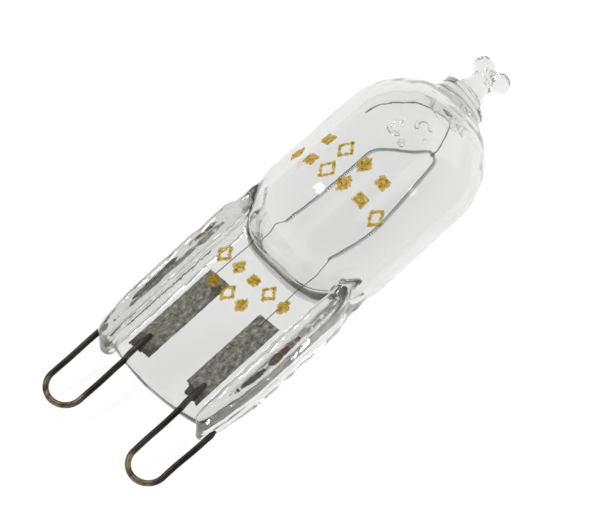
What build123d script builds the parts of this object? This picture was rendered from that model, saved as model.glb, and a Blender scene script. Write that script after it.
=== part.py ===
from build123d import *
import math
import os

# A two-loop oven lamp: a clear quartz bulb pressed flat at one end round two
# foils. It is built along its own axis, with zero just outside the open end of the
# press seal and the sealed tip at plus X, and is then laid on the surface it rests on.

# Contact loops
CONTACT_SPACING = 9.0
LOOP_WIDTH = 3.1
LOOP_REACH = 5.5
LOOP_WIRE = 0.5
FREE_END_RISE = 1.5
FREE_END_POINT = 0.45
FREE_END_TIP = 0.12
WELD_LENGTH = 1.7
WELD_PRESS = 0.08

# Sealing foils
FOIL_SPACING = 5.4
FOIL_WIDTH = 2.05
FOIL_LENGTH = 8.95
FOIL_THICKNESS = 0.04
FOIL_START = 1.9

# Press seal, an H in section: a flat web between two thick rails
SEAL_LENGTH = 15.0
SEAL_WIDTH = 12.8
WEB_THICKNESS = 2.6
RAIL_WIDTH = 1.85
RAIL_THICKNESS = 5.2
RAIL_START = 0.4
RAIL_ROUND = 0.4
RAIL_NECK_STEP = 0.38
RAIL_NECK_TAPER = 0.15
RAIL_NECK_RISE = 1.5
RAIL_END_DEPTH = 2.0
RAIL_BITE = 0.6
WEB_START = 0.9
WEB_END_DEPTH = 3.2
WEB_END_SAG = 0.5
POCKET_CLEARANCE = 0.06
LEFT_CORNER_RISE = 3.0
LEFT_CORNER_CUT = 0.45
RIGHT_CORNER_RISE = 4.5
RIGHT_CORNER_CUT = 1.0
ROUND_SHARE = 0.48
EDGE_SEARCH = 0.001
CUT_MARGIN = 1.0

# Bulb
BULB_DIAMETER = 12.9
BULB_WALL = 1.0
BARREL_LENGTH = 8.45
SHOULDER_LENGTH = 5.0
SHOULDER_ANGLE = 68.0
WEDGE_GAP = 0.5
WEDGE_ANGLE = 52.0
WEDGE_LIFT = 0.75

# Sealed exhaust tip, a little off the axis as the flame leaves it
TIP_OFFSET = 0.3
FLARE_RISE = 0.25
FLARE_ROUND = 1.2
COLLAR_DIAMETER = 4.6
COLLAR_RISE = 1.05
WAIST_DIAMETER = 2.2
WAIST_RISE = 3.05
WAIST_ROUND = 0.25
KNOB_DIAMETER = 3.95
KNOB_RISE = 3.9
KNOB_ROUND = 0.75
KNOB_TOP_DIAMETER = 2.2
KNOB_TOP_ROUND = 0.7
TIP_RISE = 5.0
TIP_BORE = 0.46
TIP_BORE_LENGTH = 1.2
TIP_BORE_RISE = 2.9

# Filament: one tungsten wire, coiled along two legs and an arch, with straight tails
COIL_DIAMETER = 0.28
TAIL_DIAMETER = 0.09
BEND_SHARE = 0.45
TAIL_BED = 0.9
TAIL_PRESS = 0.0135
TAIL_LEAD = 0.4
TAIL_BEND_RISE = 1.4
LEG_FOOT = 17.9
LEG_SPREAD = 4.8
LEG_RUN = 3.9
LEG_BOW = 0.5
RIGHT_LEG_BOW = 0.85
TAIL_SPREAD = 5.6
FILAMENT_SHIFT = 0.38
ARCH_RISE = 30.4
ARCH_FALL = 3.7
ARCH_LEAN = 1.5
ARCH_STEP = 0.8
ARCH_SWAY = 0.2

# Filament support: one wire braced against the dome
SUPPORT_WIRE = 0.13
SUPPORT_GAP = 0.03
SUPPORT_START_ANGLE = 8.0
SUPPORT_END_ANGLE = 88.0
SUPPORT_RUN_OFF = 0.6
SUPPORT_DROP = 1.6
SUPPORT_BOW = 1.0
HOOK_SHARE = 0.52
HOOK_GAP = 0.03
HOOK_TURN = 210.0
HOOK_LEAD = 0.5

seal_half = SEAL_WIDTH / 2
rail_half = RAIL_THICKNESS / 2
web_half = WEB_THICKNESS / 2
bulb_radius = BULB_DIAMETER / 2
cavity_radius = bulb_radius - BULB_WALL
barrel_start = SEAL_LENGTH + SHOULDER_LENGTH
dome_centre = barrel_start + BARREL_LENGTH
dome_top = dome_centre + bulb_radius
rail_round = min(RAIL_ROUND, ROUND_SHARE * (RAIL_WIDTH - max(LEFT_CORNER_CUT, RIGHT_CORNER_CUT)))
wire_radius = LOOP_WIRE / 2
leg_height = FOIL_THICKNESS / 2 + wire_radius - WELD_PRESS
inner_leg = (CONTACT_SPACING - LOOP_WIDTH) / 2
outer_leg = (CONTACT_SPACING + LOOP_WIDTH) / 2
foil_end = FOIL_START + FOIL_LENGTH


def rest_angle():
    """Angle at which the rails' open ends and the bulb's shoulder share one plane."""
    run = barrel_start - (RAIL_START + rail_round)
    rise = rail_half - rail_round
    reach = math.hypot(run, rise)
    return math.asin((bulb_radius - rail_round) / reach) - math.atan2(rise, run)


def rest_height(angle):
    """Height of the lamp's axis, at the open end, over the surface."""
    corner = RAIL_START + rail_round
    drop = (rail_half - rail_round) * math.cos(angle) + rail_round
    return drop - corner * math.sin(angle)


def laid_down(shape):
    angle = rest_angle()
    pose = Location((0, 0, rest_height(angle)), (0, -math.degrees(angle), 0))
    return pose * shape


def turned(outline):
    """Turns an outline, drawn as length against radius, about the lamp's axis."""
    return revolve(make_face(outline), axis=Axis.X)


def rod(start, end, radius):
    run = Vector(*end) - Vector(*start)
    return extrude(Plane(origin=start, z_dir=run) * Circle(radius), run.length)


def wire_along(path, diameter):
    return sweep(Plane(origin=path @ 0, z_dir=path % 0) * Circle(diameter / 2), path=path)


def capsule(radius):
    """A round-ended barrel, the form of the bulb outside and of its gas space."""
    slant = radius * math.sqrt(0.5)
    outline = [
        ThreePointArc((barrel_start - radius, 0), (barrel_start - slant, slant), (barrel_start, radius)),
        Line((barrel_start, radius), (dome_centre, radius)),
        ThreePointArc((dome_centre, radius), (dome_centre + slant, slant), (dome_centre + radius, 0)),
        Line((dome_centre + radius, 0), (barrel_start - radius, 0)),
    ]
    return turned(outline)


def between_slopes(shape, apex, gap, slope):
    """Keeps the part of a shape inside two planes that open towards the tip, as the press leaves them."""
    spread = bulb_radius + CUT_MARGIN
    far = dome_top + CUT_MARGIN
    reach = apex + (spread - gap / 2) / math.tan(math.radians(slope))
    wedge = Polyline(
        (apex, -gap / 2),
        (apex, gap / 2),
        (reach, spread),
        (far, spread),
        (far, -spread),
        (reach, -spread),
        close=True,
    )
    return shape & extrude(Plane.XZ * make_face(wedge), spread, both=True)


def exhaust_tip():
    """Flare, collar, waist and melted knob left where the pump tube was closed."""
    collar = COLLAR_DIAMETER / 2
    knob = KNOB_DIAMETER / 2
    flare_end = dome_top + FLARE_RISE
    flare_run = flare_end - dome_centre
    tangent = math.atan2(collar, flare_run) + math.acos(bulb_radius / math.hypot(flare_run, collar))
    foot = (dome_centre + bulb_radius * math.cos(tangent), bulb_radius * math.sin(tangent))
    collar_top = (dome_top + COLLAR_RISE, collar)
    top = dome_top + TIP_RISE
    flare = FilletPolyline(foot, (flare_end, collar), collar_top, radius=FLARE_ROUND)
    melted = FilletPolyline(
        collar_top,
        (dome_top + WAIST_RISE, WAIST_DIAMETER / 2),
        (dome_top + KNOB_RISE, knob),
        (top, KNOB_TOP_DIAMETER / 2),
        (top, 0),
        radius=[WAIST_ROUND, KNOB_ROUND, KNOB_TOP_ROUND],
    )
    core = (dome_centre, 0)
    outline = [flare, melted, Line((top, 0), core), Line(core, foot)]
    return Pos(0, TIP_OFFSET, 0) * turned(outline)


def tip_bore():
    """The thread of pump bore that stays closed inside the tip."""
    start = dome_top + TIP_BORE_RISE
    return rod((start, TIP_OFFSET, 0), (start + TIP_BORE_LENGTH, TIP_OFFSET, 0), TIP_BORE / 2)


def rail(side, corner_rise, corner_cut):
    """One thick side rail, necked where it runs into the bulb, its open end cut at the corner."""
    neck = seal_half - RAIL_NECK_STEP
    inner = seal_half - RAIL_WIDTH
    end = barrel_start - RAIL_END_DEPTH
    outline = Polyline(
        (RAIL_START, inner),
        (RAIL_START, seal_half - corner_cut),
        (RAIL_START + corner_rise, seal_half),
        (SEAL_LENGTH, seal_half),
        (SEAL_LENGTH + RAIL_NECK_RISE, neck),
        (end, neck - RAIL_NECK_TAPER),
        (end, inner),
        close=True,
    )
    slab = extrude(make_face(outline), rail_half, both=True)
    rims = slab.edges().filter_by(Plane.XY).filter_by(lambda e: abs(abs(e.center().Z) - rail_half) < EDGE_SEARCH)
    rims = rims.filter_by(lambda e: e.center().X < end - EDGE_SEARCH)
    corners = slab.edges().filter_by(Axis.Z).filter_by(lambda e: e.center().X < RAIL_START + EDGE_SEARCH)
    slab = fillet(rims + corners, rail_round)
    return slab if side > 0 else mirror(slab, about=Plane.XZ)


def web():
    """The flat web that holds the foils, its open edge sagging between the rails."""
    inner = seal_half - RAIL_WIDTH
    edge = inner + RAIL_BITE
    end = barrel_start - WEB_END_DEPTH
    sag = ThreePointArc((WEB_START, -inner), (WEB_START - WEB_END_SAG, 0), (WEB_START, inner))
    rest = Polyline(
        (WEB_START, inner),
        (WEB_START, edge),
        (end, edge),
        (end, -edge),
        (WEB_START, -edge),
        (WEB_START, -inner),
    )
    return extrude(make_face([sag, rest]), web_half, both=True)


def cavity():
    """The gas space: round along the barrel and flattened to a wedge at the seal."""
    return between_slopes(capsule(cavity_radius), SEAL_LENGTH + WEDGE_LIFT, WEDGE_GAP, WEDGE_ANGLE)


def foil(side):
    middle = (FOIL_START + FOIL_LENGTH / 2, side * FOIL_SPACING / 2, 0)
    return Pos(*middle) * Box(FOIL_LENGTH, FOIL_WIDTH, FOIL_THICKNESS)


def contact_loop(side):
    """One hairpin of contact wire: the inner leg is welded to its foil, the outer leg is free."""
    bend = -LOOP_REACH + LOOP_WIDTH / 2
    inner, outer = side * inner_leg, side * outer_leg
    far = (-LOOP_REACH, side * CONTACT_SPACING / 2, leg_height)
    shaft = FREE_END_RISE - FREE_END_POINT
    path = Wire(
        [
            Line((FOIL_START + WELD_LENGTH, inner, leg_height), (bend, inner, leg_height)),
            ThreePointArc((bend, inner, leg_height), far, (bend, outer, leg_height)),
            Line((bend, outer, leg_height), (shaft, outer, leg_height)),
        ]
    )
    hairpin = wire_along(path, LOOP_WIRE)
    point_plane = Plane(origin=(shaft, outer, leg_height), z_dir=(1, 0, 0))
    point = loft([point_plane * Circle(wire_radius), point_plane.offset(FREE_END_POINT) * Circle(FREE_END_TIP)])
    return hairpin + point - foil(side)


def tail_points(side):
    """Where a tail leaves its coil, bends at the seal and ends on its foil."""
    foot = side * LEG_SPREAD / 2 + FILAMENT_SHIFT
    foil_line = side * TAIL_SPREAD / 2 + FILAMENT_SHIFT
    bed = (FOIL_THICKNESS + TAIL_DIAMETER) / 2 - TAIL_PRESS
    return [
        (LEG_FOOT + TAIL_LEAD, foot, 0),
        (SEAL_LENGTH + WEDGE_LIFT + TAIL_BEND_RISE, (foot + foil_line) / 2, bed),
        (foil_end - TAIL_BED, foil_line, bed),
    ]


def coil_path():
    """Route of the coil: up the left leg, across to the hook and down the bowed right leg."""
    left = LEG_SPREAD / 2 + FILAMENT_SHIFT
    right = -LEG_SPREAD / 2 + FILAMENT_SHIFT
    crest = FILAMENT_SHIFT - ARCH_LEAN
    return smooth_path(
        [
            (LEG_FOOT, left, 0),
            (LEG_FOOT + LEG_RUN, left - LEG_BOW, ARCH_SWAY / 2),
            (ARCH_RISE - ARCH_FALL, left - LEG_BOW, ARCH_SWAY),
            (ARCH_RISE - ARCH_LEAN, FILAMENT_SHIFT, ARCH_SWAY),
            (ARCH_RISE, crest, 0),
            (ARCH_RISE - ARCH_STEP / 2, crest - ARCH_STEP, -ARCH_SWAY),
            (ARCH_RISE - ARCH_FALL - ARCH_LEAN, right - LEG_BOW, 0),
            (LEG_FOOT + LEG_RUN, right - RIGHT_LEG_BOW, ARCH_SWAY / 2),
            (LEG_FOOT, right, 0),
        ]
    )


def smooth_path(route):
    """Straight runs joined by the largest even arcs that the runs allow."""
    radii = []
    for before, here, after in zip(route, route[1:], route[2:]):
        first = Vector(*here) - Vector(*before)
        second = Vector(*after) - Vector(*here)
        turn = math.radians(first.get_angle(second))
        radii.append(BEND_SHARE * min(first.length, second.length) / math.tan(turn / 2))
    return FilletPolyline(*route, radius=radii)


def filament():
    coil = wire_along(coil_path(), COIL_DIAMETER)
    tails = [wire_along(smooth_path(tail_points(side)), TAIL_DIAMETER) - foil(side) for side in (1, -1)]
    return coil + tails


def bearing_point(turn, radius):
    slope = math.radians(turn)
    return Vector(dome_centre + radius * math.sin(slope), radius * math.cos(slope), 0)


def filament_support():
    """A wire that bears on the inside of the dome, comes round and hooks under the crest of the coil."""
    coil = coil_path()
    seat = coil.position_at(HOOK_SHARE)
    along = coil.tangent_at(HOOK_SHARE)
    wall = cavity_radius - SUPPORT_WIRE / 2 - SUPPORT_GAP
    middle_angle = (SUPPORT_START_ANGLE + SUPPORT_END_ANGLE) / 2
    turns = (SUPPORT_START_ANGLE, middle_angle, SUPPORT_END_ANGLE)
    bearing = ThreePointArc(*[bearing_point(turn, wall) for turn in turns])

    hook_radius = (COIL_DIAMETER + SUPPORT_WIRE) / 2 + HOOK_GAP
    outward = Vector(0, 0, 1)
    outward = (outward - along * along.dot(outward)).normalized()
    under = along.cross(outward)
    hook = []
    for turn in (0, math.radians(HOOK_TURN / 2), math.radians(HOOK_TURN)):
        hook.append(seat + (outward * math.cos(turn) + under * math.sin(turn)) * hook_radius)

    route = [
        bearing @ 1,
        bearing @ 1 + (bearing % 1) * SUPPORT_RUN_OFF,
        (dome_centre + wall - SUPPORT_DROP, -SUPPORT_BOW, 0),
        hook[0] - under * HOOK_LEAD,
        hook[0],
    ]
    path = Wire([bearing, *smooth_path(route).edges(), ThreePointArc(*hook)])
    return wire_along(path, SUPPORT_WIRE)


def end_pocket(side):
    """Blind hole in a rail for the free end of a contact loop."""
    start = (RAIL_START - CUT_MARGIN, side * outer_leg, leg_height)
    end = (FREE_END_RISE + POCKET_CLEARANCE, side * outer_leg, leg_height)
    return rod(start, end, wire_radius + POCKET_CLEARANCE)


def quartz_envelope():
    """Bulb, press seal and exhaust tip: one piece of quartz glass."""
    glass = between_slopes(capsule(bulb_radius), SEAL_LENGTH, WEB_THICKNESS, SHOULDER_ANGLE)
    glass += exhaust_tip()
    glass += web()
    glass += rail(1, LEFT_CORNER_RISE, LEFT_CORNER_CUT)
    glass += rail(-1, RIGHT_CORNER_RISE, RIGHT_CORNER_CUT)
    glass -= cavity()
    glass -= tip_bore()
    for side in (1, -1):
        weld_end = (FOIL_START + WELD_LENGTH, side * inner_leg, leg_height)
        glass -= rod((RAIL_START - CUT_MARGIN, side * inner_leg, leg_height), weld_end, wire_radius)
        bend, bed = tail_points(side)[1:]
        glass -= rod(bend, bed, TAIL_DIAMETER / 2)
        glass -= foil(side)
        glass -= end_pocket(side)
    return glass


os.makedirs("parts", exist_ok=True)
pieces = {
    "quartz_envelope": quartz_envelope(),
    "foil_left": foil(1),
    "foil_right": foil(-1),
    "contact_loop_left": contact_loop(1),
    "contact_loop_right": contact_loop(-1),
    "filament": filament(),
    "filament_support": filament_support(),
}
laid = {name: laid_down(piece) for name, piece in pieces.items()}
middle = Compound(list(laid.values())).bounding_box().center().X
for name, piece in laid.items():
    export_step(Pos(-middle, 0, 0) * piece, "parts/" + name + ".step")
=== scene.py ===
import math

import bmesh
import bpy
import numpy as np
from mathutils import Matrix, Vector


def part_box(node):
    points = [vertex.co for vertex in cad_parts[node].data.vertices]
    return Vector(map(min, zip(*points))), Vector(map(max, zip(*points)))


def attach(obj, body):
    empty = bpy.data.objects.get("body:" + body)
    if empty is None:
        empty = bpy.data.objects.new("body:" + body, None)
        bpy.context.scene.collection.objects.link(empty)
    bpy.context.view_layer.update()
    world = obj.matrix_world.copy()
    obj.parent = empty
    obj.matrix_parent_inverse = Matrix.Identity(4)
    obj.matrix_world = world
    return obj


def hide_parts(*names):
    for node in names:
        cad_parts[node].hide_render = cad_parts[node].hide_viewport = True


# The oven lamp's looks. Shapes are worked out in the lamp's own millimetres: a runs
# along its axis from the open end of the press seal to the tip, y is across the
# seal, and n is square to the seal's web. in_frame turns them into the part's frame.

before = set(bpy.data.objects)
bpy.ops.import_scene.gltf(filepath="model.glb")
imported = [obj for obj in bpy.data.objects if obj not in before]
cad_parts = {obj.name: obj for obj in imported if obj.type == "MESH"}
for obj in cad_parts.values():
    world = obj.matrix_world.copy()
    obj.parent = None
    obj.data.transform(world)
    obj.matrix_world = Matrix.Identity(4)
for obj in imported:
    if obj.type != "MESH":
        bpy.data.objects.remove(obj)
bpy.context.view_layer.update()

# Main sizes of the lamp, as in the solids
TILT = math.radians(11.70685)
LOOP_REACH = 5.5
LOOP_INNER = 2.95
LOOP_OUTER = 6.05
LOOP_WIRE = 0.5
LOOP_HEIGHT = 0.19
WELD_END = 3.6
FREE_END = 1.5
FOIL_START = 1.9
FOIL_LENGTH = 8.95
FOIL_WIDTH = 2.05
FOIL_MIDDLE = 2.7
FOIL_THICKNESS = 0.04
RAIL_START = 0.4
WEB_START = 0.9
WEB_SAG = 0.5
SEAL_LENGTH = 15.0
SEAL_HALF = 6.4
WEB_HALF = 1.3
RAIL_WIDTH = 1.85
RAIL_HALF = 2.6
RAIL_INNER = SEAL_HALF - RAIL_WIDTH
BULB_RADIUS = 6.45
BULB_WALL = 1.0
BARREL_START = 20.0
DOME_CENTRE = 28.45
DOME_TOP = DOME_CENTRE + BULB_RADIUS
TIP_OFFSET = 0.3
SHOULDER_ANGLE = math.radians(76.0)
SHOULDER_START = 14.3
WEDGE_ANGLE = math.radians(76.0)
WEDGE_START = 14.9
WEDGE_HALF = 0.95

# Coil of the filament and its tails
COIL_ROUTE = (
    (17.9, 2.78, 0.0),
    (21.8, 2.28, 0.1),
    (27.1, 2.25, 0.2),
    (28.35, 1.0, 0.2),
    (29.1, -0.1, 0.15),
    (30.4, -1.12, 0.0),
    (30.0, -1.92, -0.2),
    (25.2, -2.52, 0.0),
    (21.8, -2.87, 0.1),
    (17.9, -2.02, 0.0),
)
BEND_SHARE = 0.45
HELIX_RADIUS = 0.12
HELIX_WIRE = 0.064
HELIX_PITCH = 0.175
TAIL_WIRE = 0.07
TAIL_BED = 0.0415
TAIL_START = 18.3
TAIL_BEND = 17.15
TAIL_END = 9.95
TAIL_LINE = 2.8
TAIL_SHIFT = 0.38

# Contact wire: its pointed free end, and the inner end pressed onto the foil
POINT_LENGTH = 0.45
POINT_RADIUS = 0.12
PRESSED_LENGTH = 0.9
PRESSED_SHARE = 0.35
LOOP_SIDES = 24
# How far the wire is kept inside the solid's surface
WIRE_SKIN = 0.005

# Exhaust tip, with heights above the top of the dome
COLLAR_RADIUS = 2.27
COLLAR_HEIGHT = 0.85
COLLAR_SLANT = 0.12
WAIST_RADIUS = 1.05
WAIST_SIDE = 0.1
WAIST_FLATNESS = 0.85
WAIST_SPREAD = 0.42
WAIST_HEIGHT = 2.3
WAIST_TOP = 4.0
KNOB_DEPTH = 1.35
KNOB_SCALE = 0.92
FAR = 9.0
BORE_LOW = 3.1
BORE_HIGH = 3.9
BORE_RADIUS = 0.22
# Each lobe of the knob: its height, its place across, and its half sizes along and across
KNOB_LOBES = ((3.98, 0.86, 0.95, 1.08), (3.86, -1.05, 0.88, 0.9))

# Rails: the step at the neck, the thinning towards the open end, and how far each
# open corner is cut, as rise along and cut across
RAIL_NECK_STEP = 0.38
RAIL_END_THINNING = 0.3
LEFT_CORNER = (3.0, 0.45)
RIGHT_CORNER = (4.5, 1.0)

# Where the rails and the web run into the barrel, and how round each edge is
RAIL_END = BARREL_START - 2.0
WEB_END = BARREL_START - 3.2
RAIL_ROUND = 0.45
RAIL_END_ROUND = 0.75
CORNER_ROUND = 0.6
WEB_EDGE_ROUND = 1.3
SHOULDER_ROUND = 0.5
WEDGE_ROUND = 0.8

# The web's faces: how far they lie inside the solid's, and the height of their waves
WEB_SKIN = 0.035
WEB_WAVE = 0.02

# Melted beads inside the dome: centre, ring radius, thickness and the side left open
BEADS = (
    ((34.0, 0.2, 0.0), 1.15, 0.26, None),
    ((27.75, 0.35, 5.3), 0.6, 0.16, (0.5, -0.85)),
    ((29.25, -0.95, 5.3), 0.55, 0.15, (-0.8, -0.6)),
    ((26.95, -0.75, 5.3), 0.1, 0.17, None),
    ((28.4, -1.85, 5.1), 0.16, 0.08, None),
)

# Uneven surface: the zone, and the height, size and seed of its waves
WAVES = (
    ("seal", 0.02, 2.2, 1),
    ("all", 0.008, 7.0, 3),
    ("rails", 0.03, 3.1, 7),
    ("rails", 0.011, 1.1, 8),
    ("neck", 0.045, 1.25, 4),
    ("dome", 0.05, 1.9, 5),
    ("tip", 0.06, 0.95, 9),
    ("tip", 0.03, 0.5, 2),
)
# How far each zone is drawn in, so that its waves stay inside the solids
DRAWN_IN = (
    ("all", 0.02),
    ("seal", 0.04),
    ("rails", 0.05),
    ("neck", 0.05),
    ("dome", 0.03),
    ("tip", 0.06),
)

# Size of the cells that the glass surfaces are drawn with
OUTSIDE_STEP = 0.19
INSIDE_STEP = 0.115
BORE_STEP = 0.06

# Rows of marks: low and high along the axis, first and last place, count and seed.
# On the bulb the places are angles round it, on the web they are across it.
BULB_ROWS = ((22.5, 24.2, 33, -21, 4, 1), (20.0, 22.2, 46, -36, 6, 2))
WEB_ROWS = ((11.3, 13.0, 3.6, -2.8, 5, 3), (9.1, 10.9, 2.6, -0.4, 3, 4))
BULB_MARK = 1.6
WEB_MARK = 1.35
# Dots of glaze: their spacing along a stroke, how far they stray, and their size
DOT_GAP = 0.15
DOT_STRAY = 0.025
DOT_RADII = (0.12, 0.175)
DOT_SIDES = 10
DOT_LIFT = 0.004

# Specks along the seam, from and to, with the least and most step between two
SEAM = (2.7, 11.5)
SEAM_STEPS = (0.07, 0.22)

# Films of scale shut in the rails, with the tones that they run through
STREAK_COLUMNS = 7
STREAK_HALF_THICKNESS = 0.012
GREY_SCALE = ((0.3, (0.05, 0.055, 0.045)), (0.7, (0.20, 0.21, 0.18)))
BROWN_SCALE = ((0.3, (0.04, 0.018, 0.01)), (0.55, (0.17, 0.09, 0.05)), (0.8, (0.5, 0.42, 0.36)))

# Glass: its index, and the light that a metre of it takes out, as an absorption density
GLASS_IOR = 1.458
GLASS_GREY = 80.0

# Bounces after which light trapped in the glass passes straight out
TRAPPED_DEPTH = 4.5

# Camera of the photograph, in the lamp's own axes
CAMERA_TARGET = (15.7304, -1.0410, 1.3853)
CAMERA_DISTANCE = 260.0
CAMERA_AZIMUTH = math.radians(-137.32291)
CAMERA_ELEVATION = math.radians(64.15803)
CAMERA_ROLL = math.radians(2.26276)
CAMERA_LENS = 202.274
MM = 0.001

# Studio, in metres: the floor, and each lamp's name, place, size and power
FLOOR_SIZE = 3.0
FLOOR_WHITE = 0.83
FLOOR_FAINT = 0.28
FLOOR_PLAIN = 0.8
LAMPS = (
    ("key_lamp", (0.026, 0.317, 0.539), 0.11, 0.8),
    ("fill_lamp", (0.45, -0.3, 0.4), 0.7, 1.2),
)
# World: white low down and greyer overhead
WORLD_STOPS = ((0.10, (1, 1, 1)), (0.55, (0.5, 0.5, 0.51)))

foil_low, foil_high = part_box("foil_left")
foil_middle = FOIL_START + FOIL_LENGTH / 2
origin_x = (foil_low.x + foil_high.x) / 2 - foil_middle * math.cos(TILT) * MM
origin_z = (foil_low.z + foil_high.z) / 2 - foil_middle * math.sin(TILT) * MM


def in_frame(points):
    """Lamp millimetres to metres in the part's frame, for an array of (a, y, n)."""
    p = np.asarray(points, float)
    x = (p[..., 0] * math.cos(TILT) - p[..., 2] * math.sin(TILT)) * MM + origin_x
    z = (p[..., 0] * math.sin(TILT) + p[..., 2] * math.cos(TILT)) * MM + origin_z
    return np.stack([x, p[..., 1] * MM, z], axis=-1)


# Signed distances, in lamp millimetres


def blend_min(first, second, width):
    """Union of two distances with a melted fillet about as wide as width."""
    h = np.clip(0.5 + 0.5 * (second - first) / width, 0, 1)
    return second * (1 - h) + first * h - width * h * (1 - h)


def blend_max(first, second, width):
    """Overlap of two distances, with an edge rounded in the same way."""
    return -blend_min(-first, -second, width)


def step_up(x, start, end):
    """Smooth 0 to 1 as x goes from start to end."""
    t = np.clip((x - start) / (end - start), 0, 1)
    return t * t * (3 - 2 * t)


def ripple(a, y, n, size, seed):
    """Smooth uneven waves of about that size, between -1 and 1."""
    k = 2 * math.pi / size
    s = seed * 1.7
    return (
        np.sin(k * (0.9 * a + 0.5 * y - 0.3 * n) + s)
        + np.sin(k * (-0.4 * a + 1.1 * y + 0.6 * n) + 2.3 * s)
        + np.sin(k * (0.7 * a - 0.6 * y + 1.0 * n) + 3.1 * s + 1.0)
        + np.sin(k * (1.7 * a + 0.3 * y + 0.2 * n) + 4.7 * s)
    ) / 4


def bulb_form(a, y, n, radius):
    """Round-ended barrel."""
    along = a - np.clip(a, BARREL_START, DOME_CENTRE)
    return np.sqrt(along**2 + y**2 + n**2) - radius


def between_slopes(a, n, start, half, slope):
    """Inside two planes that open towards the tip."""
    return (np.abs(n) - half - (a - start) * math.tan(slope)) * math.cos(slope)


def tip_form(a, y, n):
    """Flare, collar, waist and the two-lobed melted knob of the exhaust tip."""
    across = y - TIP_OFFSET
    r = np.hypot(across, n)
    collar = np.maximum(r - COLLAR_RADIUS, a - (DOME_TOP + COLLAR_HEIGHT + COLLAR_SLANT * across))
    collar = blend_max(collar, (DOME_CENTRE - a), 0.2)
    waist_r = np.hypot(across - WAIST_SIDE, n * WAIST_FLATNESS)
    spread = WAIST_SPREAD * np.clip(DOME_TOP + WAIST_HEIGHT - a, 0, 3)
    waist = np.maximum(waist_r - WAIST_RADIUS - spread, a - (DOME_TOP + WAIST_TOP))
    waist = np.maximum(waist, DOME_CENTRE - a)
    knob = np.full_like(a, FAR)
    for rise, out, tall, wide in KNOB_LOBES:
        up, off = (a - DOME_TOP - rise) / tall, (across - out) / wide
        lobe = (np.sqrt(up**2 + off**2 + (n / KNOB_DEPTH) ** 2) - 1) * KNOB_SCALE
        knob = blend_min(knob, lobe, 0.3)
    knob = knob + 0.04 + 0.05 * ripple(a, y, n, 1.2, 2)
    core = blend_min(collar, waist, 0.4)
    return blend_min(core, knob, 0.35)


def rail_form(a, y, n, corner_rise, corner_cut):
    """One side rail, for y already turned to the positive side."""
    outer = SEAL_HALF - RAIL_NECK_STEP * step_up(a, SEAL_LENGTH - 0.4, SEAL_LENGTH + 1.6)
    half = RAIL_HALF - RAIL_END_THINNING * step_up(-a, -3.4, -0.4)
    side = np.abs(y - (outer + RAIL_INNER) / 2) - (outer - RAIL_INNER) / 2
    slab = blend_max(np.abs(n) - half, side, RAIL_ROUND)
    ends = blend_max(RAIL_START - a, a - RAIL_END, 0.4)
    slope = math.atan2(corner_cut, corner_rise)
    corner = (y - (SEAL_HALF - corner_cut)) * math.cos(slope) - (a - RAIL_START) * math.sin(slope)
    return blend_max(blend_max(slab, ends, RAIL_END_ROUND), corner, CORNER_ROUND)


def web_form(a, y, n):
    """The web, its open edge sagging, with the shallow waves that the press leaves by the foils."""
    edge = WEB_START - WEB_SAG * (1 - (y / RAIL_INNER) ** 2)
    wide = np.maximum(np.abs(y) - (RAIL_INNER + 0.5), a - WEB_END)
    low = step_up(-a, -9.5, -6.5)
    waves = np.exp(-(((y - 0.1) / 1.5) ** 2)) * np.sin(a * 6.5 + 1.6 * y + np.sin(a * 1.9)) * low
    half = WEB_HALF - WEB_SKIN - WEB_WAVE * waves * np.sin(a * 1.1 + 0.5) ** 2
    return np.maximum(blend_max(np.abs(n) - half, edge - a, WEB_EDGE_ROUND), wide)


def glass_outside(a, y, n):
    """Outer surface of the bulb, press seal and exhaust tip as one melted body."""
    bulb = bulb_form(a, y, n, BULB_RADIUS)
    shoulder = between_slopes(a, n, SHOULDER_START, WEB_HALF, SHOULDER_ANGLE)
    bulb = blend_max(bulb, shoulder, SHOULDER_ROUND)
    body = blend_min(bulb, tip_form(a, y, n), 0.8)
    left = rail_form(a, y, n, *LEFT_CORNER)
    right = rail_form(a, -y, n, *RIGHT_CORNER)
    body = blend_min(body, np.minimum(left, right), 0.5)
    body = blend_min(body, web_form(a, y, n), 0.3)
    seal = step_up(-a, -19.0, -16.5)
    zones = {
        "all": 1.0,
        "seal": seal,
        "rails": seal * step_up(np.abs(y), RAIL_INNER - 0.5, RAIL_INNER + 0.3),
        "neck": np.exp(-(((a - 16.0) / 1.3) ** 2)) * step_up(np.abs(y), 3.6, 4.8),
        "dome": np.exp(-(((a - 33.0) / 2.2) ** 2)),
        "tip": step_up(a, DOME_TOP + 0.6, DOME_TOP + 1.6),
    }
    for zone, height, size, seed in WAVES:
        body = body + height * zones[zone] * ripple(a, y, n, size, seed)
    for zone, depth in DRAWN_IN:
        body = body + depth * zones[zone]
    return body


def bead(space, a, y, n, centre, radius, thick, gap):
    """The gas space less a round bead of glass that lies as a ring on its wall, open towards gap."""
    da, dy, dn = a - centre[0], y - centre[1], n - centre[2]
    away = np.sqrt(da**2 + dy**2 + dn**2)
    ring = np.sqrt((away - radius) ** 2 + space**2) - thick
    if gap:
        facing = (da * gap[0] + dy * gap[1]) / np.maximum(away, 0.05)
        ring = ring + 0.5 * step_up(facing, 0.35, 0.75)
    return blend_max(space, -ring, 0.1)


def gas_space(a, y, n):
    """Inside surface: round along the barrel, a wedge at the seal, melted lumps in the dome."""
    space = bulb_form(a, y, n, BULB_RADIUS - BULB_WALL)
    wedge = between_slopes(a, n, WEDGE_START, WEDGE_HALF, WEDGE_ANGLE)
    space = blend_max(space, wedge, WEDGE_ROUND)
    for centre, radius, thick, gap in BEADS:
        space = bead(space, a, y, n, centre, radius, thick, gap)
    return space + 0.006 * ripple(a, y, n, 4.0, 6)


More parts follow.
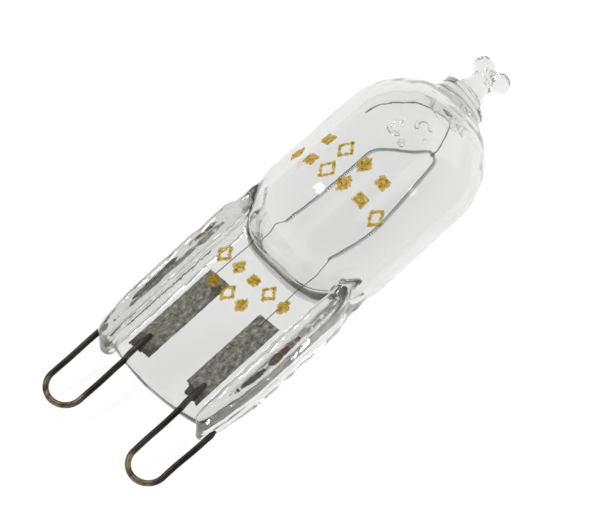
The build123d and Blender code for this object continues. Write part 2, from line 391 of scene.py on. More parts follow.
def pump_bore(a, y, n):
    """The thread of bore left closed in the tip."""
    along = a - np.clip(a, DOME_TOP + BORE_LOW, DOME_TOP + BORE_HIGH)
    return np.sqrt(along**2 + (y - TIP_OFFSET) ** 2 + n**2) - BORE_RADIUS


def slopes_of(form, p):
    """Distance and gradient of a form at an array of points."""
    e = 0.02
    value = form(p[:, 0], p[:, 1], p[:, 2])
    grad = np.empty_like(p)
    for axis in range(3):
        ahead, behind = p.copy(), p.copy()
        ahead[:, axis] += e
        behind[:, axis] -= e
        grad[:, axis] = (form(*ahead.T) - form(*behind.T)) / (2 * e)
    return value, grad


def net(form, low, high, step, inward=False):
    """Quads over the zero surface of a form: one point per crossed cell, pulled onto the surface."""
    low, high = np.array(low, float), np.array(high, float)
    counts = np.ceil((high - low) / step).astype(int) + 1
    axes = [low[i] + step * np.arange(counts[i]) for i in range(3)]
    a, y, n = np.meshgrid(*axes, indexing="ij")
    value = form(a, y, n)
    inside = value < 0
    corner = [(i, j, k) for i in (0, 1) for j in (0, 1) for k in (0, 1)]
    cut = [slice(0, -1), slice(1, None)]
    total = sum(inside[cut[i], cut[j], cut[k]].astype(np.int8) for i, j, k in corner)
    crossed = (total > 0) & (total < 8)
    ids = np.full(crossed.shape, -1)
    ids[crossed] = np.arange(crossed.sum())
    cell = np.argwhere(crossed)
    points = low + (cell + 0.5) * step
    for _ in range(4):
        value_at, grad = slopes_of(form, points)
        move = (value_at / np.maximum((grad**2).sum(1), 0.05))[:, None] * grad
        length = np.linalg.norm(move, axis=1, keepdims=True)
        points = points - move * np.minimum(1, 0.6 * step / np.maximum(length, 1e-9))
    quads = []
    for axis in range(3):
        first, second = (axis + 1) % 3, (axis + 2) % 3
        lower = [slice(None)] * 3
        upper = [slice(None)] * 3
        lower[axis], upper[axis] = slice(0, -1), slice(1, None)
        change = inside[tuple(lower)] != inside[tuple(upper)]
        where = np.argwhere(change)
        where = where[(where[:, first] > 0) & (where[:, second] > 0)]
        where = where[(where[:, first] < crossed.shape[first]) & (where[:, second] < crossed.shape[second])]
        ring = []
        for di, dj in ((-1, -1), (0, -1), (0, 0), (-1, 0)):
            c = where.copy()
            c[:, first] += di
            c[:, second] += dj
            ring.append(ids[tuple(c.T)])
        ring = np.stack(ring, axis=1)
        flip = ~inside[tuple(where.T)]
        ring[flip] = ring[flip][:, ::-1]
        quads.append(ring)
    quads = np.concatenate(quads)
    if inward:
        quads = quads[:, ::-1]
    return points, quads


def mesh_object(name, points, faces, material):
    """A smooth-shaded piece from points in metres and faces."""
    mesh = bpy.data.meshes.new(name)
    mesh.from_pydata([tuple(p) for p in points], [], [tuple(int(i) for i in f) for f in faces])
    mesh.update()
    mesh.shade_smooth()
    mesh.materials.append(material)
    piece = bpy.data.objects.new(name, mesh)
    bpy.context.scene.collection.objects.link(piece)
    return piece


# Materials


def new_material(name):
    """A new material, its nodes, its links and its main shader."""
    material = bpy.data.materials.new(name)
    material.use_nodes = True
    nodes = material.node_tree.nodes
    return material, nodes, material.node_tree.links, nodes["Principled BSDF"]


def lamp_place(nodes, links):
    """Socket with the lamp's own coordinates in millimetres, for pieces made in the part's frame."""
    place = nodes.new("ShaderNodeTexCoord")
    turn = nodes.new("ShaderNodeMapping")
    turn.inputs["Scale"].default_value = (1 / MM, 1 / MM, 1 / MM)
    turn.inputs["Rotation"].default_value = (0, TILT, 0)
    along = origin_x * math.cos(TILT) + origin_z * math.sin(TILT)
    above = origin_z * math.cos(TILT) - origin_x * math.sin(TILT)
    turn.inputs["Location"].default_value = (-along / MM, 0, -above / MM)
    links.new(place.outputs["Object"], turn.inputs["Vector"])
    return turn.outputs["Vector"]


def noise(nodes, links, place, scale, detail=3.0, rough=0.55, stretch=(1, 1, 1)):
    """Factor socket of a noise in lamp millimetres."""
    bend = nodes.new("ShaderNodeMapping")
    bend.inputs["Scale"].default_value = stretch
    links.new(place, bend.inputs["Vector"])
    grain = nodes.new("ShaderNodeTexNoise")
    grain.inputs["Scale"].default_value = scale
    grain.inputs["Detail"].default_value = detail
    grain.inputs["Roughness"].default_value = rough
    links.new(bend.outputs["Vector"], grain.inputs["Vector"])
    return grain.outputs["Fac"]


def ramp(nodes, links, factor, stops):
    """Colour socket of a ramp through (position, colour) stops."""
    node = nodes.new("ShaderNodeValToRGB")
    band = node.color_ramp
    while len(band.elements) < len(stops):
        band.elements.new(0.5)
    for element, (position, colour) in zip(band.elements, stops):
        element.position = position
        element.color = (*colour, 1)
    links.new(factor, node.inputs["Fac"])
    return node.outputs["Color"]


def bumped(nodes, links, shader, height, strength, distance):
    """Fine relief on a shader from a height socket."""
    bump = nodes.new("ShaderNodeBump")
    bump.inputs["Strength"].default_value = strength
    bump.inputs["Distance"].default_value = distance
    links.new(height, bump.inputs["Height"])
    links.new(bump.outputs["Normal"], shader.inputs["Normal"])


def glass_material():
    """Clear quartz. Rays from lamps, and light trapped in the wall, pass straight through."""
    material, nodes, links, shader = new_material("quartz_glass")
    out = nodes["Material Output"]
    shader.inputs["Base Color"].default_value = (0.922, 0.924, 0.920, 1)
    shader.inputs["IOR"].default_value = GLASS_IOR
    shader.inputs["Transmission Weight"].default_value = 1.0
    shader.inputs["Roughness"].default_value = 0.0
    place = lamp_place(nodes, links)
    bumped(nodes, links, shader, noise(nodes, links, place, 0.55, 2.0), 0.03, 0.0003)
    rays = nodes.new("ShaderNodeLightPath")
    clear = nodes.new("ShaderNodeBsdfTransparent")
    clear.inputs["Color"].default_value = (0.95, 0.955, 0.955, 1)
    mix = nodes.new("ShaderNodeMixShader")
    trapped = nodes.new("ShaderNodeMath")
    trapped.operation = "GREATER_THAN"
    links.new(rays.outputs["Ray Depth"], trapped.inputs[0])
    trapped.inputs[1].default_value = TRAPPED_DEPTH
    passed = nodes.new("ShaderNodeMath")
    passed.operation = "MAXIMUM"
    links.new(rays.outputs["Is Shadow Ray"], passed.inputs[0])
    links.new(trapped.outputs[0], passed.inputs[1])
    links.new(passed.outputs[0], mix.inputs["Fac"])
    links.new(shader.outputs["BSDF"], mix.inputs[1])
    links.new(clear.outputs["BSDF"], mix.inputs[2])
    links.new(mix.outputs["Shader"], out.inputs["Surface"])
    grey = nodes.new("ShaderNodeVolumeAbsorption")
    grey.inputs["Color"].default_value = (0.08, 0.09, 0.0, 1)
    grey.inputs["Density"].default_value = GLASS_GREY
    links.new(grey.outputs["Volume"], out.inputs["Volume"])
    return material


def tungsten_material():
    """Dark grey wire, for the coil, its tails and the support."""
    material, nodes, links, shader = new_material("tungsten")
    place = lamp_place(nodes, links)
    tone = noise(nodes, links, place, 3.0)
    stops = ((0.3, (0.016, 0.016, 0.017)), (0.7, (0.05, 0.048, 0.045)))
    links.new(ramp(nodes, links, tone, stops), shader.inputs["Base Color"])
    shader.inputs["Metallic"].default_value = 0.7
    shader.inputs["Roughness"].default_value = 0.42
    bumped(nodes, links, shader, noise(nodes, links, place, 30.0), 0.2, 0.00001)
    return material


def contact_material():
    """Drawn wire: near black along the legs, lighter bronze towards the bends as a painted highlight, with
    random bronze patches.
    """
    material, nodes, links, shader = new_material("contact_wire")
    place = lamp_place(nodes, links)
    split = nodes.new("ShaderNodeSeparateXYZ")
    links.new(place, split.inputs[0])
    # Painted highlight: a mask that grows towards the bends, where the colour turns to light bronze
    painted_bend_highlight = nodes.new("ShaderNodeMapRange")
    painted_bend_highlight.inputs["From Min"].default_value = -3.0
    painted_bend_highlight.inputs["From Max"].default_value = -5.6
    links.new(split.outputs["X"], painted_bend_highlight.inputs["Value"])
    patchy = noise(nodes, links, place, 0.9, 4.0, 0.6, (0.5, 2.0, 2.0))
    both = nodes.new("ShaderNodeMath")
    both.operation = "MULTIPLY_ADD"
    links.new(painted_bend_highlight.outputs["Result"], both.inputs[0])
    both.inputs[1].default_value = 0.30
    links.new(patchy, both.inputs[2])
    # Near black, then bronze, then the light bronze of the painted highlight at the bends
    stops = ((0.42, (0.018, 0.016, 0.014)), (0.62, (0.050, 0.042, 0.030)), (0.85, (0.24, 0.19, 0.125)))
    links.new(ramp(nodes, links, both.outputs[0], stops), shader.inputs["Base Color"])
    shader.inputs["Metallic"].default_value = 0.85
    shader.inputs["Roughness"].default_value = 0.36
    bumped(nodes, links, shader, noise(nodes, links, place, 6.0, 3.0, 0.6, (0.15, 1, 1)), 0.25, 0.00002)
    return material


def foil_material():
    """Dull metal foil, mottled where the glass wets it, with a burnt lower end."""
    material, nodes, links, shader = new_material("foil")
    place = lamp_place(nodes, links)
    mottle = noise(nodes, links, place, 2.6, 6.0, 0.72, (0.8, 1.2, 1.0))
    stops = ((0.37, (0.07, 0.067, 0.056)), (0.46, (0.18, 0.174, 0.146)), (0.57, (0.32, 0.31, 0.265)),
             (0.68, (0.66, 0.65, 0.60)))
    colour = ramp(nodes, links, mottle, stops)
    split = nodes.new("ShaderNodeSeparateXYZ")
    links.new(place, split.inputs[0])
    lower = nodes.new("ShaderNodeMapRange")
    lower.inputs["From Min"].default_value = 4.4
    lower.inputs["From Max"].default_value = 2.2
    links.new(split.outputs["X"], lower.inputs["Value"])
    streaks = noise(nodes, links, place, 1.3, 4.0, 0.6, (3.2, 0.7, 1.0))
    burnt = nodes.new("ShaderNodeMath")
    burnt.operation = "MULTIPLY"
    links.new(lower.outputs["Result"], burnt.inputs[0])
    links.new(streaks, burnt.inputs[1])
    dark = ramp(nodes, links, burnt.outputs[0], ((0.2, (1, 1, 1)), (0.42, (0.28, 0.27, 0.26))))
    mix = nodes.new("ShaderNodeMix")
    mix.data_type = "RGBA"
    mix.blend_type = "MULTIPLY"
    mix.inputs["Factor"].default_value = 1.0
    links.new(colour, mix.inputs["A"])
    links.new(dark, mix.inputs["B"])
    links.new(mix.outputs["Result"], shader.inputs["Base Color"])
    shader.inputs["Metallic"].default_value = 0.45
    shader.inputs["Roughness"].default_value = 0.5
    bumped(nodes, links, shader, mottle, 0.5, 0.00004)
    return material


def ink_material():
    """Thin yellow-gold glaze that lets some light through."""
    material, nodes, links, shader = new_material("ink")
    place = lamp_place(nodes, links)
    tone = noise(nodes, links, place, 4.0, 3.0, 0.6)
    stops = ((0.34, (0.36, 0.21, 0.02)), (0.48, (0.68, 0.46, 0.08)), (0.75, (0.86, 0.70, 0.28)))
    links.new(ramp(nodes, links, tone, stops), shader.inputs["Base Color"])
    shader.inputs["Transmission Weight"].default_value = 0.6
    shader.inputs["IOR"].default_value = 1.0
    shader.inputs["Roughness"].default_value = 0.1
    return material


def scale_material():
    """Dark grains of scale."""
    material, nodes, links, shader = new_material("scale")
    place = lamp_place(nodes, links)
    tone = noise(nodes, links, place, 5.0)
    stops = ((0.35, (0.02, 0.018, 0.016)), (0.7, (0.12, 0.10, 0.08)))
    links.new(ramp(nodes, links, tone, stops), shader.inputs["Base Color"])
    shader.inputs["Roughness"].default_value = 0.6
    return material


def streak_material(name, stops, cover):
    """Mould scale shut in a rail: speckled, with gaps that the light passes."""
    material, nodes, links, shader = new_material(name)
    place = lamp_place(nodes, links)
    tone = noise(nodes, links, place, 3.4, 5.0, 0.7)
    links.new(ramp(nodes, links, tone, stops), shader.inputs["Base Color"])
    shader.inputs["Roughness"].default_value = 0.55
    gaps = noise(nodes, links, place, 1.7, 5.0, 0.75)
    veil = nodes.new("ShaderNodeMapRange")
    veil.inputs["From Min"].default_value = 0.62 - 0.3 * cover
    veil.inputs["From Max"].default_value = 0.78 - 0.3 * cover
    veil.inputs["To Max"].default_value = 1.0
    links.new(gaps, veil.inputs["Value"])
    links.new(veil.outputs["Result"], shader.inputs["Alpha"])
    return material


def floor_material():
    """White to the camera and to light that glass sends on, and plain to the rest."""
    material, nodes, links, shader = new_material("studio_floor")
    out = nodes["Material Output"]
    nodes.remove(shader)
    rays = nodes.new("ShaderNodeLightPath")
    seen = nodes.new("ShaderNodeMath")
    seen.operation = "MAXIMUM"
    seen_all = nodes.new("ShaderNodeMath")
    seen_all.operation = "MAXIMUM"
    links.new(rays.outputs["Is Camera Ray"], seen.inputs[0])
    links.new(rays.outputs["Is Glossy Ray"], seen.inputs[1])
    links.new(seen.outputs[0], seen_all.inputs[0])
    links.new(rays.outputs["Is Transmission Ray"], seen_all.inputs[1])
    plain = nodes.new("ShaderNodeBsdfDiffuse")
    plain.inputs["Color"].default_value = (FLOOR_PLAIN, FLOOR_PLAIN, FLOOR_PLAIN, 1)
    faint = nodes.new("ShaderNodeBsdfDiffuse")
    faint.inputs["Color"].default_value = (FLOOR_FAINT, FLOOR_FAINT, FLOOR_FAINT, 1)
    white = nodes.new("ShaderNodeEmission")
    white.inputs["Strength"].default_value = FLOOR_WHITE
    both = nodes.new("ShaderNodeAddShader")
    links.new(white.outputs[0], both.inputs[0])
    links.new(faint.outputs[0], both.inputs[1])
    mix = nodes.new("ShaderNodeMixShader")
    links.new(seen_all.outputs[0], mix.inputs["Fac"])
    links.new(plain.outputs[0], mix.inputs[1])
    links.new(both.outputs[0], mix.inputs[2])
    links.new(mix.outputs[0], out.inputs["Surface"])
    return material


def studio():
    """Pale floor, soft lamps, and a world that is white low down and darker overhead."""
    half = FLOOR_SIZE / 2
    floor = mesh_object(
        "studio_floor",
        [(-half, -half, 0), (half, -half, 0), (half, half, 0), (-half, half, 0)],
        [(0, 1, 2, 3)],
        floor_material(),
    )
    world = bpy.data.worlds.new("studio_world")
    bpy.context.scene.world = world
    world.use_nodes = True
    nodes, links = world.node_tree.nodes, world.node_tree.links
    place = nodes.new("ShaderNodeTexCoord")
    split = nodes.new("ShaderNodeSeparateXYZ")
    links.new(place.outputs["Generated"], split.inputs[0])
    sky = ramp(nodes, links, split.outputs["Z"], WORLD_STOPS)
    rays = nodes.new("ShaderNodeLightPath")
    pick = nodes.new("ShaderNodeMix")
    pick.data_type = "RGBA"
    links.new(rays.outputs["Is Camera Ray"], pick.inputs["Factor"])
    links.new(sky, pick.inputs["A"])
    pick.inputs["B"].default_value = (1, 1, 1, 1)
    back = nodes["Background"]
    links.new(pick.outputs["Result"], back.inputs["Color"])
    back.inputs["Strength"].default_value = 1.0
    for name, spot, size, power in LAMPS:
        lamp = bpy.data.lights.new(name, "AREA")
        lamp.size = size
        lamp.energy = power
        holder = bpy.data.objects.new(name, lamp)
        holder.location = spot
        holder.rotation_mode = "QUATERNION"
        holder.rotation_quaternion = Vector(spot).to_track_quat("Z", "Y")
        bpy.context.scene.collection.objects.link(holder)


def photo_camera():
    """The photograph's own viewpoint, worked out about the lamp and then laid down with it."""
    el, az = CAMERA_ELEVATION, CAMERA_AZIMUTH
    back = Vector((math.cos(el) * math.cos(az), math.cos(el) * math.sin(az), math.sin(el)))
    level = Vector((0, 0, 1)).cross(back).normalized()
    upright = back.cross(level)
    right = level * math.cos(CAMERA_ROLL) + upright * math.sin(CAMERA_ROLL)
    up = upright * math.cos(CAMERA_ROLL) - level * math.sin(CAMERA_ROLL)
    lay = Matrix.Rotation(-TILT, 3, "Y")
    place = Vector(in_frame(Vector(CAMERA_TARGET) + back * CAMERA_DISTANCE))
    data = bpy.data.cameras.new("photo_camera")
    data.sensor_width = 36.0
    data.lens = CAMERA_LENS
    data.clip_start = 0.01
    camera = bpy.data.objects.new("photo_camera", data)
    axes = Matrix((lay @ right, lay @ up, lay @ back)).transposed()
    camera.matrix_world = Matrix.Translation(place) @ axes.to_4x4()
    bpy.context.scene.collection.objects.link(camera)
    bpy.context.scene.camera = camera


def settled(piece, slot, *nodes):
    """A finished piece rides the part and stands for its solids. Its slot is not used."""
    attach(piece, "root")
    if nodes:
        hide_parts(*nodes)


def quartz_glass():
    """The glass as closed skins: the outside, the gas space and the thread of bore."""
    parts = [
        net(glass_outside, (0.0, -6.8, -6.8), (40.4, 6.8, 6.8), OUTSIDE_STEP),
        net(gas_space, (15.0, -5.8, -5.8), (34.4, 5.8, 5.8), INSIDE_STEP, inward=True),
        net(pump_bore, (37.3, 0, -0.4), (39.4, 0.8, 0.4), BORE_STEP, inward=True),
    ]
    points, faces, start = [], [], 0
    for p, q in parts:
        points.append(p)
        faces.append(q + start)
        start += len(p)
    points, faces = in_frame(np.concatenate(points)), np.concatenate(faces)
    piece = mesh_object("quartz_glass", points, faces, glass_material())
    settled(piece, "quartz_glass", "quartz_envelope")


# Wires


def filleted(route, spacing):
    """Points along straight runs joined by the largest even arcs that the runs allow."""
    route = [np.array(p, float) for p in route]
    line = [route[0]]
    for before, here, after in zip(route, route[1:], route[2:]):
        first, second = here - before, after - here
        shorter = min(np.linalg.norm(first), np.linalg.norm(second))
        first, second = first / np.linalg.norm(first), second / np.linalg.norm(second)
        turn = math.acos(np.clip(first @ second, -1, 1))
        reach = BEND_SHARE * shorter
        radius = reach / math.tan(turn / 2)
        start = here - first * reach
        inward = second - first * (first @ second)
        inward = inward / np.linalg.norm(inward)
        for step in np.linspace(0, turn, 12):
            line.append(start + first * radius * math.sin(step) + inward * radius * (1 - math.cos(step)))
    line.append(route[-1])
    line = np.array(line)
    run = np.concatenate([[0], np.cumsum(np.linalg.norm(np.diff(line, axis=0), axis=1))])
    keep = np.concatenate([[True], np.diff(run) > 1e-6])
    run, line = run[keep], line[keep]
    even = np.linspace(0, run[-1], max(2, int(run[-1] / spacing) + 1))
    return np.stack([np.interp(even, run, line[:, i]) for i in range(3)], axis=1), even


def side_frames(line):
    """Two directions square to a line at each point, turning no more than they must."""
    along = np.gradient(line, axis=0)
    along /= np.linalg.norm(along, axis=1, keepdims=True)
    first = np.empty_like(line)
    side = np.cross(along[0], (0.0, 0.0, 1.0))
    if np.linalg.norm(side) < 0.1:
        side = np.cross(along[0], (0.0, 1.0, 0.0))
    for i, way in enumerate(along):
        side = side - way * (side @ way)
        side = side / np.linalg.norm(side)
        first[i] = side
    return first, np.cross(along, first)


def tube(line, radius, sides):
    """Points and faces of a closed round tube along a line, with one radius or one for each point."""
    first, second = side_frames(line)
    radius = np.broadcast_to(radius, len(line))
    turn = np.linspace(0, 2 * math.pi, sides, endpoint=False)
    ring = first[:, None] * np.cos(turn)[None, :, None] + second[:, None] * np.sin(turn)[None, :, None]
    points = (line[:, None] + ring * radius[:, None, None]).reshape(-1, 3)
    low = np.arange(len(line) - 1)[:, None] * sides + np.arange(sides)[None]
    high = np.arange(len(line) - 1)[:, None] * sides + (np.arange(sides)[None] + 1) % sides
    faces = [tuple(f) for f in np.stack([low, high, high + sides, low + sides], axis=-1).reshape(-1, 4)]
    faces.append(tuple(range(sides - 1, -1, -1)))
    faces.append(tuple(range((len(line) - 1) * sides, len(line) * sides)))
    return points, faces


def joined(shapes):
    """One list of points and one of faces from several."""
    points, faces, start = [], [], 0
    for p, f in shapes:
        points.append(np.asarray(p))
        faces.extend(tuple(int(i) + start for i in face) for face in f)
        start += len(p)
    return np.concatenate(points), faces


def filament():
    """The wire itself: a close helix along both legs and the arch, and a straight tail at each end."""
    line, run = filleted(COIL_ROUTE, HELIX_PITCH / 14)
    first, second = side_frames(line)
    turn = (2 * math.pi * run / HELIX_PITCH)[:, None]
    helix = line + (first * np.cos(turn) + second * np.sin(turn)) * HELIX_RADIUS
    shapes = [tube(helix, HELIX_WIRE / 2, 6)]
    for foot in (COIL_ROUTE[0][1], COIL_ROUTE[-1][1]):
        foil_line = math.copysign(TAIL_LINE, foot) + TAIL_SHIFT
        tail = [
            (TAIL_START, foot, 0.0),
            (TAIL_BEND, (foot + foil_line) / 2, TAIL_BED),
            (TAIL_END, foil_line, TAIL_BED),
        ]
        shapes.append(tube(filleted(tail, 0.15)[0], TAIL_WIRE / 2, 10))
    points, faces = joined(shapes)
    piece = mesh_object("filament_wire", in_frame(points), faces, tungsten_material())
    settled(piece, "tungsten", "filament")


def contact_loop(side, name, splay, material):
    """One hairpin of contact wire: its inner leg goes in to the foil, its outer leg ends in a point."""
    bend = -LOOP_REACH + (LOOP_OUTER - LOOP_INNER) / 2
    centre = (LOOP_INNER + LOOP_OUTER) / 2
    half = (LOOP_OUTER - LOOP_INNER) / 2
    inner = [(a, LOOP_INNER) for a in np.linspace(WELD_END, bend, 60)]
    turn = [(bend - half * math.sin(t), centre - half * math.cos(t)) for t in np.linspace(0, math.pi, 48)[1:]]
    outer = [(a, LOOP_OUTER) for a in np.linspace(bend, FREE_END, 40)[1:]]
    line = np.array([(a, y * side, LOOP_HEIGHT) for a, y in inner + turn + outer])
    sway = 0.018 * np.sin(line[:, 0] * 1.3 + side) * step_up(-np.abs(line[:, 0] + 2.0), -3.0, -0.5)
    line[:, 1] += sway + side * splay * step_up(line[:, 0], bend, FREE_END) * (np.abs(line[:, 1]) > centre)
    left = FREE_END - line[:, 0]
    free = np.arange(len(line)) > len(inner) + len(turn)
    narrowed = POINT_RADIUS + (LOOP_WIRE / 2 - POINT_RADIUS) * left / POINT_LENGTH
    radius = np.where(free & (left < POINT_LENGTH), narrowed, LOOP_WIRE / 2)
    press_start = WELD_END - PRESSED_LENGTH
    pressed = (np.arange(len(line)) < len(inner)) & (line[:, 0] > press_start)
    squeezed = radius * (1 - PRESSED_SHARE * step_up(line[:, 0], press_start, WELD_END))
    radius = np.where(pressed, squeezed, radius)
    points, faces = tube(line, radius - WIRE_SKIN, LOOP_SIDES)
    piece = mesh_object(name + "_wire", in_frame(points), faces, material)
    settled(piece, "contact_wire", name)


# Foils


def ragged(x, size, seed):
    """Uneven edge of cut and scorched foil, between 0 and 1."""
    s = seed * 2.1
    waves = np.sin(x * 5.1 / size + s) + np.sin(x * 11.3 / size + 1.7 * s) + np.sin(x * 23.0 / size + 2.9 * s)
    return 0.5 + waves / 6


def sealing_foil(side, name, material):
    """Foil with feathered, slightly ragged edges; the right one's lower corner is eaten away."""
    rows, columns = 150, 36
    u = np.linspace(0, 1, rows)[:, None]
    v = np.linspace(-1, 1, columns)[None]
    low = FOIL_START + 0.22 * ragged(v * 1.5, 1.0, 1 + side)
    if side < 0:
        low = low + 0.75 * step_up(v, 0.45, 0.6)
    else:
        low = low + 0.35 * step_up(-v, 0.2, 0.7) * ragged(v * 3.0, 0.6, 5)
    high = FOIL_START + FOIL_LENGTH - 0.05 * ragged(v * 1.5, 1.0, 3 + side) - 0.05 * (v + 1)
    a = low + (high - low) * u
    half = FOIL_WIDTH / 2 - 0.05 * ragged(a + 3.0 * side, 0.8, 2) * np.ones_like(a)
    y = side * FOIL_MIDDLE + v * half
    thick = FOIL_THICKNESS / 2 * np.sqrt(np.clip(1 - v**6, 0.02, 1)) * np.ones_like(a)
    top = np.stack([a, y, thick], axis=-1).reshape(-1, 3)
    bottom = np.stack([a, y, -thick], axis=-1).reshape(-1, 3)
    points = np.concatenate([top, bottom])
    count = rows * columns
    faces = []
    for i in range(rows - 1):
        for j in range(columns - 1):
            k = i * columns + j
            faces.append((k, k + columns, k + columns + 1, k + 1))
            faces.append((k + count, k + 1 + count, k + columns + 1 + count, k + columns + count))
    rim = [j for j in range(columns)] + [i * columns + columns - 1 for i in range(1, rows)]
    rim += [(rows - 1) * columns + j for j in range(columns - 2, -1, -1)]
    rim += [i * columns for i in range(rows - 2, 0, -1)]
    for here, after in zip(rim, rim[1:] + rim[:1]):
        faces.append((here, after, after + count, here + count))
    settled(mesh_object(name + "_sheet", in_frame(points), faces, material), "foil", name)


# Small marks


def onto_glass(points, lift):
    """Points moved onto the glass, that far outside it, with the outward directions."""
    p = np.array(points, float)
    for _ in range(6):
        value, grad = slopes_of(glass_outside, p)
        p = p - ((value - lift) / np.maximum((grad**2).sum(1), 0.05))[:, None] * grad
    _, grad = slopes_of(glass_outside, p)
    return p, grad / np.linalg.norm(grad, axis=1, keepdims=True)


# A hollow diamond, a solid square and a solid diamond
STROKES = (
    ((0, 1, 1, 0), (1, 0, 0, -1), (0, -1, -1, 0), (-1, 0, 0, 1)),
    tuple((-0.65, y, 0.65, y) for y in (0.5, 0.25, 0.0, -0.25, -0.5)),
    tuple((x, 0.9 - abs(x), x, abs(x) - 0.9) for x in (-0.75, -0.5, -0.25, 0.0, 0.25, 0.5, 0.75)),
)


def ink_row(spots, size, seed):
    """Dots of glaze along the strokes of geometric marks, each at its middle and two directions in spots."""
    rng = np.random.default_rng(seed)
    centres = []
    for number, (middle, along, across) in enumerate(spots):
        for x0, y0, x1, y1 in STROKES[(number * 2 + seed) % len(STROKES)]:
            steps = max(2, int(math.hypot(x1 - x0, y1 - y0) * size / 2 / DOT_GAP))
            for share in np.linspace(0, 1, steps):
                up = (y0 + (y1 - y0) * share) * size / 2 + rng.normal(0, DOT_STRAY)
                out = (x0 + (x1 - x0) * share) * size * 0.38 + rng.normal(0, DOT_STRAY)
                centres.append(np.array(middle) + np.array(along) * up + np.array(across) * out)
    centres, outward = onto_glass(centres, DOT_LIFT)
    shapes = []
    for centre, way in zip(centres, outward):
        first = np.cross(way, (1.0, 0.0, 0.0))
        first /= np.linalg.norm(first)
        second = np.cross(way, first)
        radius = rng.uniform(*DOT_RADII) * (1 + rng.normal(0, 0.16, DOT_SIDES))
        turn = np.linspace(0, 2 * math.pi, DOT_SIDES, endpoint=False) + rng.uniform(0, 1)
        rim = centre + first * (np.cos(turn) * radius)[:, None] + second * (np.sin(turn) * radius)[:, None]
        inner = centre + (rim - centre) * 0.8
        points = np.concatenate([[centre + way * 0.004], inner + way * 0.001, rim - way * 0.012])
        ring = [1 + i % DOT_SIDES for i in range(DOT_SIDES + 1)]
        faces = [(0, i, j) for i, j in zip(ring, ring[1:])]
        faces += [(i, i + DOT_SIDES, j + DOT_SIDES, j) for i, j in zip(ring, ring[1:])]
        shapes.append((points, faces))
    return joined(shapes)


def ink_marks():
    """Plain geometric marks in yellow glaze: two rows on the bulb, two on the web."""
    shapes = []
    for low, high, start, end, count, seed in BULB_ROWS:
        spots = []
        for turn in np.radians(np.linspace(start, end, count)):
            middle = ((low + high) / 2, BULB_RADIUS * math.sin(turn), BULB_RADIUS * math.cos(turn))
            spots.append((middle, (1, 0, 0), (0, -math.cos(turn), math.sin(turn))))
        shapes.append(ink_row(spots, BULB_MARK, seed))
    for low, high, start, end, count, seed in WEB_ROWS:
        across = np.linspace(start, end, count)
        spots = [(((low + high) / 2, y, WEB_HALF), (1, 0, 0), (0, -1, 0)) for y in across]
        shapes.append(ink_row(spots, WEB_MARK, seed))
    points, faces = joined(shapes)
    settled(mesh_object("ink_marks", in_frame(points), faces, ink_material()), None)


def blob(centre, size, rng):
    """A small uneven grain."""
    steps = (-1, 0, 1)
    ways = np.array([(x, y, z) for x in steps for y in steps for z in steps if x or y or z], float)
    ways = ways / np.linalg.norm(ways, axis=1, keepdims=True)
    points = centre + ways * size * rng.uniform(0.6, 1.25, (len(ways), 1))
    hull = bmesh.new()
    for p in points:
        hull.verts.new(p)
    bmesh.ops.convex_hull(hull, input=hull.verts)
    hull.verts.index_update()
    used = [np.array(v.co) for v in hull.verts]
    faces = [tuple(v.index for v in f.verts) for f in hull.faces]
    hull.free()
    return used, faces


def seam_specks():
    """Dark scale specks in a broken line where the web meets the left rail."""
    rng = np.random.default_rng(7)
    shapes = []
    a = SEAM[0]
    while a < SEAM[1]:
        centre = np.array((a, RAIL_INNER - 0.03 + rng.normal(0, 0.035), 1.25 + rng.normal(0, 0.015)))
        shapes.append(blob(centre, (rng.uniform(0.05, 0.12), 0.05, 0.035), rng))
        a += rng.uniform(*SEAM_STEPS)
    points, faces = joined(shapes)
    settled(mesh_object("seam_specks", in_frame(points), faces, scale_material()), None)


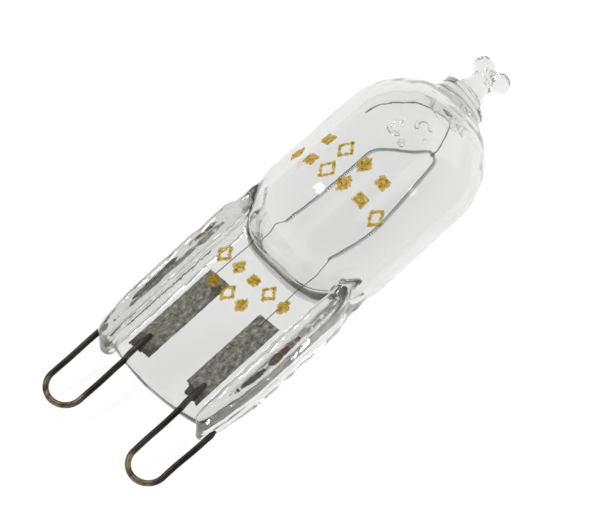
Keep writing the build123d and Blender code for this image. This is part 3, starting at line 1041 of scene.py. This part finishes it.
def streak(name, route, half, depth, material, seed):
    """A thin, ragged film of scale shut in a rail, along (a, y) points at one depth."""
    route = np.array(route, float)
    a = np.arange(route[0, 0], route[-1, 0], 0.08)
    y = np.interp(a, route[:, 0], route[:, 1])
    end = np.minimum(1, np.minimum(a - a[0], a[-1] - a) / 0.7 + 0.15)
    rows = []
    for v in np.linspace(-1, 1, STREAK_COLUMNS):
        edge = half * end * (0.75 + 0.5 * ragged(a + 4 * v, 0.6, seed))
        rows.append(np.stack([a, y + v * edge, depth + 0.06 * np.sin(3 * a + v)], axis=-1))
    sheet = np.stack(rows, axis=1)
    raised = np.array((0, 0, STREAK_HALF_THICKNESS))
    points = np.concatenate([(sheet + raised).reshape(-1, 3), (sheet - raised).reshape(-1, 3)])
    length, width = sheet.shape[:2]
    count, faces = length * width, []
    for i in range(length - 1):
        here, after = i * width, (i + 1) * width
        for k in range(here, here + width - 1):
            faces.append((k, k + width, k + width + 1, k + 1))
            faces.append((k + count, k + 1 + count, k + width + 1 + count, k + width + count))
        for first, second in ((here, after), (after + width - 1, here + width - 1)):
            faces.append((second, first, first + count, second + count))
    for j in range(width - 1):
        k = (length - 1) * width + j
        faces.append((j, j + 1, j + 1 + count, j + count))
        faces.append((k + 1, k, k + count, k + 1 + count))
    settled(mesh_object(name, in_frame(points), faces, material), None)


studio()
photo_camera()
quartz_glass()
filament()
wire = contact_material()
contact_loop(1, "contact_loop_left", 0.0, wire)
contact_loop(-1, "contact_loop_right", 0.12, wire)
foil = foil_material()
sealing_foil(1, "foil_left", foil)
sealing_foil(-1, "foil_right", foil)
ink_marks()
seam_specks()
grey = streak_material("grey_scale", GREY_SCALE, 1.1)
brown = streak_material("brown_scale", BROWN_SCALE, 0.9)
streak("right_grey_streak", ((1.8, -5.15), (6.1, -5.4), (8.2, -5.6)), 0.32, 0.0, grey, 1)
streak("right_brown_streak", ((8.1, -5.3), (9.9, -5.34), (11.9, -5.5)), 0.26, 0.0, brown, 2)
streak("left_grey_streak", ((4.1, 5.5), (6.5, 5.56), (9.2, 5.65)), 0.16, 2.0, grey, 3)
streak("left_brown_streak", ((10.3, 5.75), (11.8, 5.7), (13.5, 5.68)), 0.13, 2.0, brown, 4)

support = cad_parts["filament_support"]
support.data.materials.clear()
support.data.materials.append(bpy.data.materials["tungsten"])

view = bpy.context.scene.view_settings
view.view_transform = "Standard"
